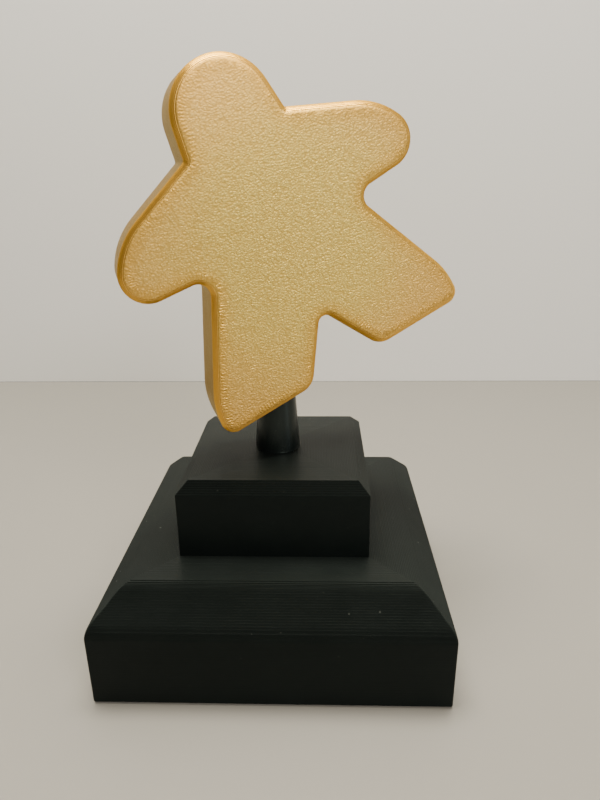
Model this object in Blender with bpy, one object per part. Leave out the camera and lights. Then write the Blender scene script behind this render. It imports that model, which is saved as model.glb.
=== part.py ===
"""Tilted meeple trophy: a printed meeple balanced on one leg over a two-step plinth.

Metres, +Z up, the underside of the plinth on Z = 0 and the post on the Z axis.
"""
import bpy
import bmesh
from math import cos, hypot, pi, radians, sin, sqrt, tan
from mathutils import Matrix, Vector

MM = 0.001
GAP = 0.3 * MM                    # clearance left between pieces that touch

LOWER_W = 90 * MM                 # lower plinth, across the flats
LOWER_H = 30 * MM
LOWER_CHAMFER = 8.4 * MM
LOWER_ROUND_TOP = 5 * MM          # where the chamfer meets the top face
LOWER_ROUND_SIDE = 6 * MM         # where the chamfer meets the side
UPPER_W = 50 * MM
UPPER_TOP = 51 * MM               # height of the upper step above the floor
UPPER_CHAMFER = 3 * MM
FOOT_CHAMFER = 0.5 * MM           # small break on the bottom edges

MEEPLE_T = 17 * MM                # thickness of the meeple
MEEPLE_ROUND = 1.9 * MM           # rounding round both faces
TILT = radians(26.1)              # lean that puts the weight over the post
YAW = radians(20.0)               # turn of the meeple on the plinth
SOLE_Z = 66.2 * MM                # height of the sole on the post's axis
LEG_X = -20.2 * MM                # where the post meets the sole, from the middle

POST_R_FOOT = 6.4 * MM
POST_R_TOP = 4.9 * MM
POST_FLARE = 0.5 * MM
TENON_W = 9 * MM                  # square tenon that stops the post turning
TENON_H = 6 * MM

BOLT_R = 2.5 * MM
BOLT_HEAD_R = 4.25 * MM
BOLT_HEAD_H = 5 * MM
BOLT_KEY_R = 2.3 * MM             # hexagon socket, to its corners
BOLT_TIP_Z = 77 * MM
THREAD_PITCH = 0.8 * MM
THREAD_DEPTH = 0.4 * MM
THREAD_LENGTH = 22 * MM
RECESS_R = 7 * MM                 # counterbore under the lower plinth
RECESS_H = 10 * MM
WASHER_R = 5 * MM
WASHER_T = 1 * MM
SPRING_R = 4.5 * MM
SPRING_T = 1.2 * MM
SPRING_SLOT = 1 * MM

INSERT_R = 3.7 * MM
INSERT_L = 8 * MM
INSERT_LIFT = 1.7 * MM            # how far the insert stands above the sole

DOWEL_R = 2 * MM
DOWEL_L = 16 * MM
DOWEL_X = 15 * MM
DOWEL_EDGE = 0.5 * MM

BORE_R = BOLT_R + GAP
RECESS_TOP = RECESS_H
HEAD_TOP = RECESS_H - 3 * GAP - WASHER_T - SPRING_T


def clear_scene():
    for obj in list(bpy.data.objects):
        bpy.data.objects.remove(obj, do_unlink=True)


def collection(name):
    made = bpy.data.collections.new(name)
    bpy.context.scene.collection.children.link(made)
    return made


def material(name, colour, roughness, metallic):
    mat = bpy.data.materials.new(name)
    mat.use_nodes = True
    shader = mat.node_tree.nodes["Principled BSDF"]
    shader.inputs["Base Color"].default_value = (*colour, 1.0)
    shader.inputs["Roughness"].default_value = roughness
    shader.inputs["Metallic"].default_value = metallic
    return mat


def finish(name, bm, home, mat=None, smooth_deg=None):
    """Turn a bmesh into a named object with its own material."""
    bmesh.ops.recalc_face_normals(bm, faces=bm.faces[:])
    mesh = bpy.data.meshes.new(name)
    bm.to_mesh(mesh)
    bm.free()
    obj = bpy.data.objects.new(name, mesh)
    home.objects.link(obj)
    if mat is not None:
        mesh.materials.append(mat)
    if smooth_deg is not None:
        mesh.shade_smooth()
        mesh.set_sharp_from_angle(angle=radians(smooth_deg))
    return obj


def lathe(profile, steps=64, start=0.0):
    """Turn (radius, height) points about the Z axis: a solid, or a ring if off the axis."""
    bm = bmesh.new()
    across = Matrix.Rotation(start, 3, "Z")
    verts = [bm.verts.new(across @ Vector((r, 0.0, z))) for r, z in profile]
    edges = [bm.edges.new(pair) for pair in zip(verts, verts[1:])]
    if profile[0][0] > 0:
        edges.append(bm.edges.new((verts[-1], verts[0])))
    bmesh.ops.spin(bm, geom=verts + edges, cent=(0, 0, 0), axis=(0, 0, 1),
                   angle=2 * pi, steps=steps, use_merge=True)
    bmesh.ops.remove_doubles(bm, verts=bm.verts[:], dist=1e-7)
    poles = [v for v in bm.verts if hypot(v.co.x, v.co.y) < 1e-7]
    bmesh.ops.dissolve_verts(bm, verts=poles)
    return bm


def square_turning(profile):
    """Turn a profile of (half width, height) points in four steps: a mitred block."""
    return lathe([(half * sqrt(2), z) for half, z in profile], steps=4, start=pi / 4)


def rounded(corners, step_deg=9):
    """Points of a closed outline whose corners (x, y, radius) are rounded by arcs."""
    points = []
    for i, (x, y, radius) in enumerate(corners):
        here = Vector((x, y))
        before = (Vector(corners[i - 1][:2]) - here).normalized()
        after = (Vector(corners[(i + 1) % len(corners)][:2]) - here).normalized()
        if radius == 0:
            points.append(here)
            continue
        half = before.angle(after) / 2
        centre = here + (before + after).normalized() * (radius / sin(half))
        start = here + before * (radius / tan(half)) - centre
        turn = pi - 2 * half
        side = 1 if before.x * after.y - before.y * after.x < 0 else -1
        count = max(2, round(turn / radians(step_deg)))
        for k in range(count + 1):
            points.append(centre + Matrix.Rotation(side * turn * k / count, 2) @ start)
    return points


def disc(radius, z_low, z_high, chamfer=0.0):
    """Profile of a solid round bar with broken ends."""
    return [(0, z_low), (radius - chamfer, z_low), (radius, z_low + chamfer),
            (radius, z_high - chamfer), (radius - chamfer, z_high), (0, z_high)]


def bar(radius, z_low, z_high, steps=48):
    bm = lathe([(0, z_low), (radius, z_low), (radius, z_high), (0, z_high)], steps)
    return bm


def cutter(name, bm, home):
    obj = finish(name, bm, home)
    obj.hide_render = True
    obj.display_type = "WIRE"
    return obj


def cut(obj, tool):
    mod = obj.modifiers.new("cut_" + tool.name, "BOOLEAN")
    mod.operation = "DIFFERENCE"
    mod.solver = "EXACT"
    mod.object = tool


def lower_plinth(home, mat):
    """Square block with a wide chamfer, softened where it meets the top and the side."""
    half = LOWER_W / 2
    shoulder = LOWER_H - LOWER_CHAMFER
    inner = half - LOWER_CHAMFER
    corners = [(0, 0, 0), (half - FOOT_CHAMFER, 0, 0), (half, FOOT_CHAMFER, 0),
               (half, shoulder, LOWER_ROUND_SIDE), (inner, LOWER_H, LOWER_ROUND_TOP),
               (0, LOWER_H, 0)]
    profile = [(p.x, p.y) for p in rounded(corners)]
    return finish("lower_plinth", square_turning(profile), home, mat, 20)


def upper_plinth(home, mat):
    """Square block with a plain chamfer round its top."""
    half = UPPER_W / 2
    low = LOWER_H + GAP
    profile = [(0, low), (half, low), (half, UPPER_TOP - UPPER_CHAMFER),
               (half - UPPER_CHAMFER, UPPER_TOP), (0, UPPER_TOP)]
    return finish("upper_plinth", square_turning(profile), home, mat)


def post(home, mat):
    """Tapered round post, flared at its foot, with a square tenon below."""
    low = UPPER_TOP + GAP
    high = SOLE_Z + POST_R_FOOT
    corners = [(0, low, 0), (POST_R_FOOT + POST_FLARE, low, 0),
               (POST_R_FOOT, low + 2 * POST_FLARE, 3 * POST_FLARE), (POST_R_TOP, high, 0),
               (0, high, 0)]
    bm = lathe([(p.x, p.y) for p in rounded(corners)], steps=72)
    obj = finish("post", bm, home, mat, 30)
    return obj


def tenon_block(name, home, width, depth):
    bm = bmesh.new()
    bmesh.ops.create_cube(bm, size=1.0)
    overlap = 2 * GAP
    bmesh.ops.scale(bm, vec=(width, width, depth + overlap), verts=bm.verts[:])
    middle = UPPER_TOP + GAP + (overlap - depth) / 2
    bmesh.ops.translate(bm, vec=(0, 0, middle), verts=bm.verts[:])
    return cutter(name, bm, home)


def meeple_outline():
    """Meeple seen from the front: soles on y = 0, middle on x = 0."""
    right = [(10.4, 81.8, 12.2),      # head
             (13.4, 64.8, 0.6),       # neck
             (35.7, 56.4, 20.0),      # top of the arm
             (45.9, 41.1, 6.9),       # hand
             (20.8, 39.3, 3.2),       # armpit
             (36.8, 9.4, 22.0),       # outside of the leg
             (37.9, 0.0, 3.5),        # toe
             (10.9, 0.0, 5.6)]        # heel
    left = [(-x, y, r) for x, y, r in reversed(right)]
    crotch = [(0.0, 17.7, 2.1)]
    return rounded([(x * MM, y * MM, r * MM) for x, y, r in right + crotch + left])


def meeple(home, mat):
    """Thick flat meeple with rounded faces, leaning on one leg."""
    bm = bmesh.new()
    outline = [bm.verts.new((p.x, MEEPLE_T / 2, p.y)) for p in meeple_outline()]
    back = bm.faces.new(outline)
    grown = bmesh.ops.extrude_face_region(bm, geom=[back], use_keep_orig=True)
    front = [v for v in grown["geom"] if isinstance(v, bmesh.types.BMVert)]
    bmesh.ops.translate(bm, vec=(0, -MEEPLE_T, 0), verts=front)
    bmesh.ops.recalc_face_normals(bm, faces=bm.faces[:])
    rims = [e for e in bm.edges if abs(e.verts[0].co.y - e.verts[1].co.y) < 1e-9]
    bmesh.ops.bevel(bm, geom=rims, offset=MEEPLE_ROUND, offset_type="OFFSET", affect="EDGES",
                    segments=5, profile=0.5, material=-1, clamp_overlap=False)
    obj = finish("meeple", bm, home, mat, 40)
    obj.rotation_euler = (0, -TILT, YAW)
    along = -LEG_X * cos(TILT)
    obj.location = (along * cos(YAW), along * sin(YAW), SOLE_Z - LEG_X * sin(TILT))
    return obj


def sole_slab(home):
    """Leaning block whose lower face is the sole, held off by the clearance."""
    bm = bmesh.new()
    bmesh.ops.create_cube(bm, size=1.0)
    bmesh.ops.scale(bm, vec=(60 * MM, 60 * MM, 30 * MM), verts=bm.verts[:])
    bmesh.ops.translate(bm, vec=(0, 0, 15 * MM), verts=bm.verts[:])
    obj = cutter("sole_slab", bm, home)
    obj.rotation_euler = (0, -TILT, YAW)
    obj.location = (0, 0, SOLE_Z - GAP / cos(TILT))
    return obj


def tie_bolt(home, mat):
    """Long cap screw with a ringed thread at its tip."""
    first = BOLT_TIP_Z - THREAD_LENGTH
    profile = [(0, HEAD_TOP - BOLT_HEAD_H), (BOLT_HEAD_R - 0.4 * MM, HEAD_TOP - BOLT_HEAD_H),
               (BOLT_HEAD_R, HEAD_TOP - BOLT_HEAD_H + 0.4 * MM), (BOLT_HEAD_R, HEAD_TOP),
               (BOLT_R, HEAD_TOP), (BOLT_R, first)]
    turns = int((THREAD_LENGTH - THREAD_PITCH) / THREAD_PITCH)
    for k in range(turns):
        z = first + k * THREAD_PITCH
        profile += [(BOLT_R - THREAD_DEPTH, z + THREAD_PITCH / 2), (BOLT_R, z + THREAD_PITCH)]
    profile += [(BOLT_R - THREAD_PITCH, BOLT_TIP_Z), (0, BOLT_TIP_Z)]
    return finish("tie_bolt", lathe(profile, steps=32), home, mat, 40)


def hex_key(home):
    bm = lathe([(0, 0), (BOLT_KEY_R, 0), (BOLT_KEY_R, 3 * MM), (0, 3 * MM)], steps=6)
    obj = cutter("hex_key", bm, home)
    obj.location = (0, 0, HEAD_TOP - BOLT_HEAD_H - 0.3 * MM)
    return obj


def ring(name, home, mat, inner, outer, low, high, edge, steps=56):
    profile = [(inner, low), (outer - edge, low), (outer, low + edge), (outer, high - edge),
               (outer - edge, high), (inner, high)]
    return finish(name, lathe(profile, steps), home, mat, 40)


def spring_slot(home):
    """Slanted saw cut that splits the spring washer."""
    bm = bmesh.new()
    bmesh.ops.create_cube(bm, size=1.0)
    bmesh.ops.scale(bm, vec=(2 * SPRING_R, SPRING_SLOT, 4 * SPRING_T), verts=bm.verts[:])
    bmesh.ops.translate(bm, vec=(SPRING_R, 0, 0), verts=bm.verts[:])
    obj = cutter("spring_slot", bm, home)
    obj.rotation_euler = (radians(20), 0, 0)
    obj.location = (0, 0, HEAD_TOP + GAP + SPRING_T / 2)
    return obj


def insert(home, mat):
    """Brass insert with two knurled bands, set in the leg above the sole."""
    low = SOLE_Z + INSERT_LIFT
    groove = INSERT_R - 0.6 * MM
    band = INSERT_L / 5
    profile = [(BORE_R, low), (groove, low), (INSERT_R, low + 0.6 * MM),
               (INSERT_R, low + 2 * band), (groove, low + 2 * band + 0.3 * MM),
               (groove, low + 3 * band), (INSERT_R, low + 3 * band + 0.3 * MM),
               (INSERT_R, low + INSERT_L), (BORE_R, low + INSERT_L)]
    return finish("leg_insert", lathe(profile, steps=56), home, mat, 40)


def dowel(name, home, mat, x):
    middle = LOWER_H + GAP / 2
    bm = lathe(disc(DOWEL_R, middle - DOWEL_L / 2, middle + DOWEL_L / 2, DOWEL_EDGE), steps=40)
    obj = finish(name, bm, home, mat, 40)
    obj.location = (x, 0, 0)
    return obj


def dowel_hole(name, home, x):
    middle = LOWER_H + GAP / 2
    reach = DOWEL_L / 2 + GAP
    obj = cutter(name, bar(DOWEL_R + GAP, middle - reach, middle + reach, 40), home)
    obj.location = (x, 0, 0)
    return obj


def main():
    clear_scene()
    parts = collection("meeple_trophy")
    tools = collection("cutters")

    gold = material("gold_silk_plastic", (0.56, 0.40, 0.18), 0.38, 0.0)
    black_low = material("black_plastic_lower", (0.012, 0.013, 0.012), 0.45, 0.0)
    black_up = material("black_plastic_upper", (0.012, 0.013, 0.012), 0.45, 0.0)
    black_post = material("black_plastic_post", (0.010, 0.011, 0.011), 0.35, 0.0)
    steel = material("zinc_steel_bolt", (0.55, 0.56, 0.57), 0.30, 1.0)
    steel_washer = material("zinc_steel_washer", (0.58, 0.58, 0.58), 0.35, 1.0)
    steel_spring = material("black_spring_steel", (0.20, 0.20, 0.21), 0.40, 1.0)
    brass = material("brass_insert", (0.72, 0.50, 0.20), 0.30, 1.0)
    pin_left = material("steel_dowel_left", (0.50, 0.50, 0.51), 0.28, 1.0)
    pin_right = material("steel_dowel_right", (0.50, 0.50, 0.51), 0.28, 1.0)

    base = lower_plinth(parts, black_low)
    step = upper_plinth(parts, black_up)
    stem = post(parts, black_post)
    figure = meeple(parts, gold)
    bolt = tie_bolt(parts, steel)
    ring("washer", parts, steel_washer, BORE_R, WASHER_R,
         RECESS_TOP - GAP - WASHER_T, RECESS_TOP - GAP, 0.2 * MM)
    spring = ring("spring_washer", parts, steel_spring, BORE_R, SPRING_R,
                  HEAD_TOP + GAP, HEAD_TOP + GAP + SPRING_T, 0.15 * MM)
    insert(parts, brass)
    dowel("dowel_left", parts, pin_left, -DOWEL_X)
    dowel("dowel_right", parts, pin_right, DOWEL_X)

    recess = cutter("bolt_recess", bar(RECESS_R, -1 * MM, RECESS_TOP, 64), tools)
    bolt_bore = cutter("bolt_bore", bar(BORE_R, 5 * MM, BOLT_TIP_Z + 2 * MM), tools)
    insert_bore = cutter("insert_bore",
                         bar(INSERT_R + GAP, SOLE_Z - 10 * MM, SOLE_Z + INSERT_LIFT + INSERT_L + GAP),
                         tools)
    left_hole = dowel_hole("dowel_hole_left", tools, -DOWEL_X)
    right_hole = dowel_hole("dowel_hole_right", tools, DOWEL_X)
    socket = tenon_block("tenon_socket", tools, TENON_W + 2 * GAP, TENON_H + 2 * GAP)
    tenon = tenon_block("tenon", tools, TENON_W, TENON_H)

    for obj, used in ((base, (recess, bolt_bore, left_hole, right_hole)),
                      (step, (socket, bolt_bore, left_hole, right_hole)),
                      (figure, (insert_bore, bolt_bore)),
                      (bolt, (hex_key(tools),)),
                      (spring, (spring_slot(tools),))):
        for tool in used:
            cut(obj, tool)

    joined = stem.modifiers.new("add_tenon", "BOOLEAN")
    joined.operation = "UNION"
    joined.solver = "EXACT"
    joined.object = tenon
    cut(stem, sole_slab(tools))
    cut(stem, bolt_bore)


main()
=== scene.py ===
# %% [markdown]
# A trophy for board gamers: a gold meeple balanced on one leg over a black two-step plinth.
# All of it is printed in layers from plastic, so the looks come from printing: layer steps on the
# slopes, the pebbled grain that a textured print bed leaves, and the sheen of silk filament.
# The CAD model is loaded first. It fixes every place and size, and nothing here moves it.

# %% Load the frame
import bpy
import bmesh
from math import atan2, hypot, pi, radians, sin, sqrt, tan
from mathutils import Matrix, Vector
from mathutils.kdtree import KDTree


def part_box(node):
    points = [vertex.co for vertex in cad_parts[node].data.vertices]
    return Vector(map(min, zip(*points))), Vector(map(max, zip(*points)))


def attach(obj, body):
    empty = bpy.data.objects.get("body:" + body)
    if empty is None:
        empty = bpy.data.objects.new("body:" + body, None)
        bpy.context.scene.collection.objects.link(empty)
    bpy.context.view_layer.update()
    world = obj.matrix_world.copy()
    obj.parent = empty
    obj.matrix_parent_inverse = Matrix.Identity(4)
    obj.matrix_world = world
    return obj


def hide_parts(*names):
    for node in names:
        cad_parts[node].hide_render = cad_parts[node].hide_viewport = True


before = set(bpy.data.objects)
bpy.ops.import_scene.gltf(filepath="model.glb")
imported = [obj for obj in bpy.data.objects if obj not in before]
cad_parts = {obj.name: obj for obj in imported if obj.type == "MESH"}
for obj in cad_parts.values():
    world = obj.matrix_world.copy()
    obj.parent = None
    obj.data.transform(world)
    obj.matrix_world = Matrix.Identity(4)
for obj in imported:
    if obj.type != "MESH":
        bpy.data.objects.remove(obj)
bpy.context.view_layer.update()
MM = 0.001

# %% [markdown]
# The camera stands close in front, 50 mm above the middle of the trophy, and looks down on it.
# A camera looks along its own -Z, so it is turned up from straight down, then turned about the
# vertical, and last rolled about its own line of sight.

# %% Camera
CAMERA_AT = (0.01197, -0.16198, 0.12463)
LOOK_DOWN, TURN_LEFT, ROLL = radians(20.28), radians(1.92), radians(-0.71)

camera_data = bpy.data.cameras.new("camera")
camera_data.lens = 27.6
camera_data.sensor_width = 36.0
camera = bpy.data.objects.new("camera", camera_data)
bpy.context.scene.collection.objects.link(camera)
camera.matrix_world = (Matrix.Translation(CAMERA_AT) @ Matrix.Rotation(TURN_LEFT, 4, "Z")
                       @ Matrix.Rotation(pi / 2 - LOOK_DOWN, 4, "X") @ Matrix.Rotation(ROLL, 4, "Z"))
bpy.context.scene.camera = camera
print("camera at", CAMERA_AT, "with a", camera_data.lens, "mm lens")

# %% [markdown]
# Black plastic has almost no colour of its own. What shows on it is the reflection of the room, so
# the pale floor and the pale wall behind matter as much as the lamps do. Two planes make them.

# %% Floor and wall
def plain_finish(name, colour, roughness):
    mat = bpy.data.materials.new(name)
    mat.use_nodes = True
    shader = mat.node_tree.nodes["Principled BSDF"]
    shader.inputs["Base Color"].default_value = (*colour, 1.0)
    shader.inputs["Roughness"].default_value = roughness
    return mat


def stage_plane(name, size, place, finish):
    bm = bmesh.new()
    bmesh.ops.create_grid(bm, x_segments=1, y_segments=1, size=size / 2, matrix=place)
    mesh = bpy.data.meshes.new(name)
    bm.to_mesh(mesh)
    bm.free()
    obj = bpy.data.objects.new(name, mesh)
    bpy.context.scene.collection.objects.link(obj)
    mesh.materials.append(finish)


WALL_Y, FLOOR_Z, STAGE_SIZE = 0.21, -0.0002, 4.0
stage_plane("floor", STAGE_SIZE, Matrix.Translation((0, WALL_Y - STAGE_SIZE / 2, FLOOR_Z)),
            plain_finish("floor_finish", (0.20, 0.19, 0.17), 0.7))
stage_plane("wall", STAGE_SIZE,
            Matrix.Translation((0, WALL_Y, STAGE_SIZE / 2)) @ Matrix.Rotation(pi / 2, 4, "X"),
            plain_finish("wall_finish", (0.70, 0.69, 0.67), 0.8))
print("floor and wall made")

# %% [markdown]
# One big soft lamp hangs overhead and a little behind, which lights the tops and the upper edges.
# A weaker one stands high in front, to the right, for the face and the front of the plinth. The
# third is small, cool and very weak: it stands low at the right and draws the narrow highlight down
# the round post. The world gives the rest, dimmer, as an ordinary room does.

# %% Lamps
def soft_lamp(name, at, aim, size, watts, colour):
    data = bpy.data.lights.new(name, "AREA")
    data.shape = "RECTANGLE"
    data.size, data.size_y = size
    data.energy = watts
    data.color = colour
    lamp = bpy.data.objects.new(name, data)
    bpy.context.scene.collection.objects.link(lamp)
    lamp.location = at
    lamp.rotation_euler = (Vector(aim) - Vector(at)).to_track_quat("-Z", "Y").to_euler()


soft_lamp("lamp_overhead", at=(-0.02, 0.06, 0.8), aim=(0, 0.02, 0.05), size=(0.55, 0.3), watts=19.0,
          colour=(1.0, 0.94, 0.80))
soft_lamp("lamp_front", at=(0.45, -0.75, 0.68), aim=(0, 0, 0.1), size=(0.45, 0.35), watts=9.5,
          colour=(1.0, 0.94, 0.84))
soft_lamp("lamp_side", at=(0.50, -0.28, 0.05), aim=(0, 0, 0.06), size=(0.10, 0.1), watts=0.18,
          colour=(0.92, 0.97, 1.0))
world = bpy.data.worlds.new("room")
world.use_nodes = True
world.node_tree.nodes["Background"].inputs["Color"].default_value = (0.90, 0.95, 1.0, 1.0)
world.node_tree.nodes["Background"].inputs["Strength"].default_value = 0.12
bpy.context.scene.world = world
print("three lamps and the room's own light")

# %% [markdown]
# Every piece is finished the same way: normals outwards, smooth except at real edges, placed in its
# mesh, riding on the one body of the trophy, and standing for its CAD node.

# %% Finishing a piece
SHARP = radians(30)


def finish_piece(name, bm, node, material):
    bmesh.ops.recalc_face_normals(bm, faces=bm.faces[:])
    mesh = bpy.data.meshes.new(name)
    bm.to_mesh(mesh)
    bm.free()
    mesh.shade_smooth()
    mesh.set_sharp_from_angle(angle=SHARP)
    mesh.materials.append(material)
    obj = bpy.data.objects.new(name, mesh)
    bpy.context.scene.collection.objects.link(obj)
    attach(obj, "root")
    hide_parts(node)
    print(name, "has", len(mesh.polygons), "faces")


# %% [markdown]
# Node groups hold the effects that several finishes share. The first helper makes an empty group
# with named sockets, and the second drops a node in and wires it up in one line.

# %% Node helpers
def new_group(name, inputs, outputs):
    group = bpy.data.node_groups.new(name, "ShaderNodeTree")
    for label, kind, value in inputs:
        socket = group.interface.new_socket(name=label, in_out="INPUT", socket_type=kind)
        if value is not None:
            socket.default_value = value
    for label, kind in outputs:
        group.interface.new_socket(name=label, in_out="OUTPUT", socket_type=kind)
    return group, group.nodes.new("NodeGroupInput"), group.nodes.new("NodeGroupOutput")


def add(tree, kind, settings=None, **inputs):
    node = tree.nodes.new(kind)
    for key, value in (settings or {}).items():
        setattr(node, key, value)
    for key, value in inputs.items():
        by_number = key[0] == "i" and key[1:].isdigit()
        socket = node.inputs[int(key[1:]) if by_number else key.replace("_", " ")]
        if isinstance(value, bpy.types.NodeSocket):
            tree.links.new(value, socket)
        else:
            socket.default_value = value
    return node


def math(tree, operation, a, b=0.0, c=0.0):
    return add(tree, "ShaderNodeMath", {"operation": operation}, i0=a, i1=b, i2=c).outputs[0]


def ramp(tree, value, low, high, out_low=0.0, out_high=1.0):
    node = add(tree, "ShaderNodeMapRange", {"interpolation_type": "SMOOTHSTEP"}, Value=value)
    for label, number in (("From Min", low), ("From Max", high), ("To Min", out_low), ("To Max", out_high)):
        node.inputs[label].default_value = number
    return node.outputs["Result"]


print("node helpers ready")

# %% [markdown]
# A printer lays the plastic down in flat layers, so every slope is really a tiny staircase and
# every wall is a stack of rounded beads. The plinths are modelled that way, layer upon layer: one
# square outline is extruded upwards bead by bead and scaled to the slope. A little scatter in the
# width of each bead gives the faint banding that real prints have.

# %% Stacked layers
TOUCH, HAIR = 1e-6, 1e-7          # closer than this, points count as one, or as on the knife
LAYER = 0.15 * MM
BEAD_GROOVE = 0.006 * MM
BEAD_SCATTER = 0.003 * MM
SMALLEST_STEP = 0.03 * MM


def scatter(number):
    """A fixed random-looking value from -1 to 1 for each whole number."""
    return 2 * ((sin(number * 12.9898) * 43758.5453) % 1.0) - 1


def beads(outline, z_low, z_high, groove=BEAD_GROOVE, layer=LAYER, stair=1.0):
    """Points (inset, z) of a stack of layers that follows outline(z), as a stair or smoothed."""
    count = round((z_high - z_low) / layer)
    step = (z_high - z_low) / count
    points = []
    for k in range(count):
        middle = outline(z_low + (k + 0.5) * step)
        for part in (0.0, 0.25, 0.75, 1.0):
            z = z_low + (k + part) * step
            inset = stair * middle + (1 - stair) * outline(z) + BEAD_SCATTER * (1 + scatter(k))
            inset += groove if part in (0.0, 1.0) else 0.0
            if not points or abs(inset - points[-1][0]) > SMALLEST_STEP or part > 0:
                points.append((inset, z))
    return points


def square_outline(bm, half, corner, z):
    """A square of edges with its four upright corners slightly rounded, as a nozzle leaves them."""
    bmesh.ops.create_grid(bm, x_segments=1, y_segments=1, size=half)
    bmesh.ops.delete(bm, geom=bm.faces[:], context="FACES_ONLY")
    bmesh.ops.contextual_create(bm, geom=bm.edges[:])
    bmesh.ops.bevel(bm, geom=bm.verts[:], offset=corner, affect="VERTICES", segments=3,
                    profile=0.5, material=-1)
    bmesh.ops.delete(bm, geom=bm.faces[:], context="FACES_ONLY")
    bmesh.ops.translate(bm, vec=(0, 0, z), verts=bm.verts[:])
    return bm.edges[:]


def climb(bm, ring, half, points):
    """Extrude a ring of edges through (inset, z) points; the ring starts at the first of them."""
    width = half - points[0][0]
    height = points[0][1]
    for inset, z in points[1:]:
        grown = bmesh.ops.extrude_edge_only(bm, edges=ring)["geom"]
        verts = [g for g in grown if isinstance(g, bmesh.types.BMVert)]
        ring = [g for g in grown if isinstance(g, bmesh.types.BMEdge)]
        rise, grow = z - height, (half - inset) / width
        bmesh.ops.scale(bm, vec=(grow, grow, 1), verts=verts)
        bmesh.ops.translate(bm, vec=(0, 0, rise), verts=verts)
        width, height = half - inset, z
    return ring


print("layers are", LAYER / MM, "mm tall")

# %% [markdown]
# The plinths are drilled for a bolt that ties everything together, and for two steel pins that stop
# them turning. A flat face with round holes comes from filling between its outline and the circles.
# Each hole is then a tube bridged from one circle to the next.

# %% Holes
def circle(bm, radius, x, z, steps=48):
    place = Matrix.Translation((x, 0, z))
    made = bmesh.ops.create_circle(bm, cap_ends=False, radius=radius, segments=steps, matrix=place)
    return list({e for v in made["verts"] for e in v.link_edges})


def fill_between(bm, *rings):
    bmesh.ops.triangle_fill(bm, use_beauty=True, use_dissolve=False,
                            edges=[e for ring in rings for e in ring])


def tube(bm, ring_a, ring_b):
    bmesh.ops.bridge_loops(bm, edges=ring_a + ring_b)


def cap(bm, ring):
    bmesh.ops.contextual_create(bm, geom=ring)


def blind_hole(bm, radius, x, z_open, z_end):
    mouth = circle(bm, radius, x, z_open)
    end = circle(bm, radius, x, z_end)
    tube(bm, mouth, end)
    cap(bm, end)
    return mouth


BORE_R, RECESS_R, RECESS_TOP = 2.8 * MM, 7 * MM, 10 * MM
PIN_HOLE_R, PIN_HOLE_DEPTH, PIN_X = 2.3 * MM, 8.15 * MM, 15 * MM
print("bolt bore", 2 * BORE_R / MM, "mm, pin holes", 2 * PIN_HOLE_R / MM, "mm across")

# %% [markdown]
# The lower plinth is the block that stands on the floor. Its sides rise straight, then lean in along a
# wide chamfer, and roll over into the flat top. In that roll each layer reaches much further in
# than the one below, so the steps show plainly as a few fine contour lines.

# %% Lower plinth shape
low_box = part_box("lower_plinth")
LOW_HALF = low_box[1][0]
LOW_TOP = low_box[1][2]
LOW_CHAMFER, LOW_CORNER = 8.4 * MM, 0.5 * MM
ROLL_SIDE, ROLL_TOP, FOOT_BEVEL = 6 * MM, 5 * MM, 0.5 * MM


def lower_inset(z):
    """How far the side of the lower plinth has leaned in at a height."""
    shoulder = LOW_TOP - LOW_CHAMFER
    half_turn = tan(radians(22.5))
    slope = sin(radians(45))
    side_low, side_high = shoulder - ROLL_SIDE * half_turn, shoulder + ROLL_SIDE * half_turn * slope
    top_low = LOW_TOP - ROLL_TOP * half_turn * slope
    if z < FOOT_BEVEL:
        return FOOT_BEVEL - z
    if z < side_low:
        return 0.0
    if z < side_high:
        return ROLL_SIDE - sqrt(ROLL_SIDE ** 2 - (z - side_low) ** 2)
    if z < top_low:
        return z - shoulder
    reach = LOW_CHAMFER + ROLL_TOP * half_turn
    drop = ROLL_TOP - (LOW_TOP - z)
    return reach - sqrt(max(ROLL_TOP ** 2 - drop ** 2, 0.0))


bm = bmesh.new()
steps_up = beads(lower_inset, 0.0, LOW_TOP)
under = square_outline(bm, LOW_HALF - steps_up[0][0], LOW_CORNER, 0.0)
rim = climb(bm, under, LOW_HALF, steps_up)
recess_mouth, recess_end = circle(bm, RECESS_R, 0, 0), circle(bm, RECESS_R, 0, RECESS_TOP)
bore_low, bore_high = circle(bm, BORE_R, 0, RECESS_TOP), circle(bm, BORE_R, 0, LOW_TOP)
pin_holes = [blind_hole(bm, PIN_HOLE_R, x, LOW_TOP, LOW_TOP - PIN_HOLE_DEPTH) for x in (-PIN_X, PIN_X)]
fill_between(bm, under, recess_mouth)
fill_between(bm, rim, bore_high, *pin_holes)
tube(bm, recess_mouth, recess_end)
fill_between(bm, recess_end, bore_low)
tube(bm, bore_low, bore_high)
lower_bm = bm
print("lower plinth:", len(steps_up), "rings, open edges:", sum(not e.is_manifold for e in bm.edges))

# %% [markdown]
# The upper plinth is a smaller block with a plain chamfer. A square socket in its top takes the
# tenon of the post, so that the post can't twist.

# %% Upper plinth shape
up_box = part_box("upper_plinth")
SEAT = 0.03 * MM
UP_HALF, UP_LOW, UP_TOP = up_box[1][0], LOW_TOP + SEAT, up_box[1][2]
UP_CHAMFER, UP_CORNER = 3 * MM, 0.35 * MM
SOCKET_HALF, SOCKET_DEPTH = 4.8 * MM, 6.6 * MM


def upper_inset(z):
    return max(0.0, z - (UP_TOP - UP_CHAMFER))


bm = bmesh.new()
steps_up = beads(upper_inset, UP_LOW, UP_TOP)
under = square_outline(bm, UP_HALF - steps_up[0][0], UP_CORNER, UP_LOW)
rim = climb(bm, under, UP_HALF, steps_up)


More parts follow.
